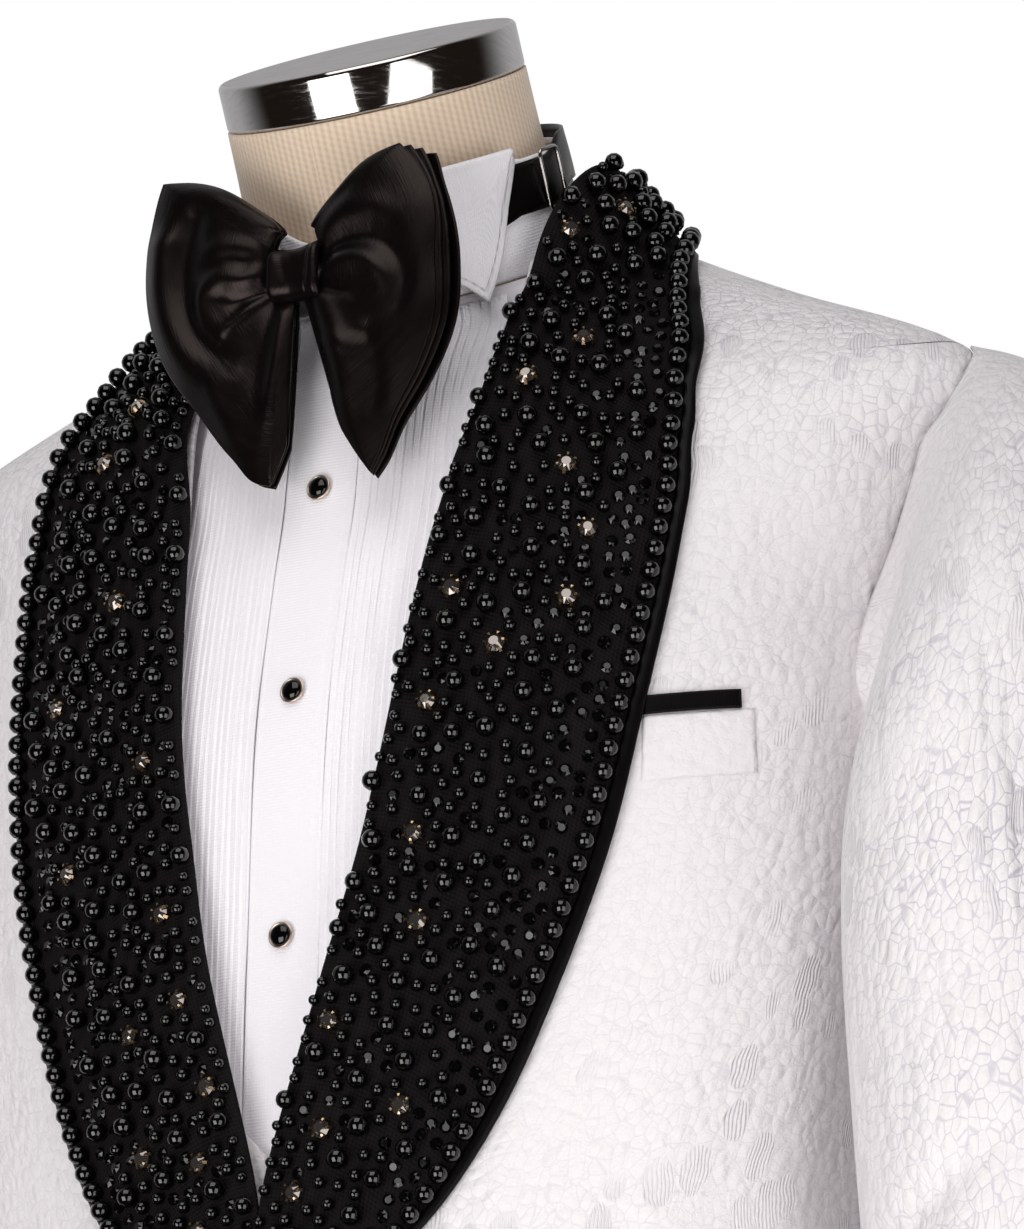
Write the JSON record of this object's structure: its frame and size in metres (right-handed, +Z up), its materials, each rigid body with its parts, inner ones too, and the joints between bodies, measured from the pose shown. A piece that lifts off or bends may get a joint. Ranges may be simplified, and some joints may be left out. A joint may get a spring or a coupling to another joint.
{
  "type": "tuxedo on a limbless dress form",
  "caption": "Dinner suit with a wide beaded shawl collar, pleated shirt, waistcoat, bow tie and trousers on a limbless dress form with a neck cap, pole and round base.",
  "frame": {"origin": "middle of the underside of the round base", "axes": "+Z up; the wearer faces -Y; +X is the wearer's left"},
  "size_m": [0.6536, 0.38, 1.569],
  "materials": {
    "jacquard": "white floral jacquard, slightly puckered",
    "lapel_cloth": "black cloth covered with beads",
    "beads": "glossy black pearl beads",
    "shirting": "white cotton",
    "satin": "black satin",
    "enamel": "black dome in a metal rim",
    "pearl": "white pearl button",
    "wire": "bright wire",
    "knit": "cream ribbed knit cover",
    "polished_steel": "polished",
    "black_wool": "matte black wool"
  },
  "bodies": {
    "root": {"bow_knot": "satin", "bow_leaf_front_left": "satin", "bow_leaf_front_right": "satin", "bow_leaf_hind_left": "satin", "bow_leaf_hind_right": "satin", "bow_slider": "wire", "bow_strap": "satin", "breast_trim": "satin", "breast_welt": "jacquard", "form_base": "polished_steel", "form_neck_cap": "polished_steel", "form_pole": "polished_steel", "form_torso": "knit", "jacket_back_left": "jacquard", "jacket_back_right": "jacquard", "jacket_button": "satin", "jacket_front_left": "jacquard", "jacket_front_right": "jacquard", "jacket_sleeve_left": "jacquard", "jacket_sleeve_right": "jacquard", "lapel_bead_row_left": "beads", "lapel_bead_row_right": "beads", "lapel_left": "lapel_cloth", "lapel_right": "lapel_cloth", "shirt_back": "shirting", "shirt_bib_left": "shirting", "shirt_bib_right": "shirting", "shirt_collar_button": "pearl", "shirt_collar_stand": "shirting", "shirt_front_left": "shirting", "shirt_front_right": "shirting", "shirt_placket": "shirting", "shirt_wing_left": "shirting", "shirt_wing_right": "shirting", "stud_1": "enamel", "stud_2": "enamel", "stud_3": "enamel", "trouser_back_left": "black_wool", "trouser_back_right": "black_wool", "trouser_front_left": "black_wool", "trouser_front_right": "black_wool", "trouser_waistband": "satin", "waistcoat_back": "satin", "waistcoat_front_left": "jacquard", "waistcoat_front_right": "jacquard"}
  },
  "joints": []
}
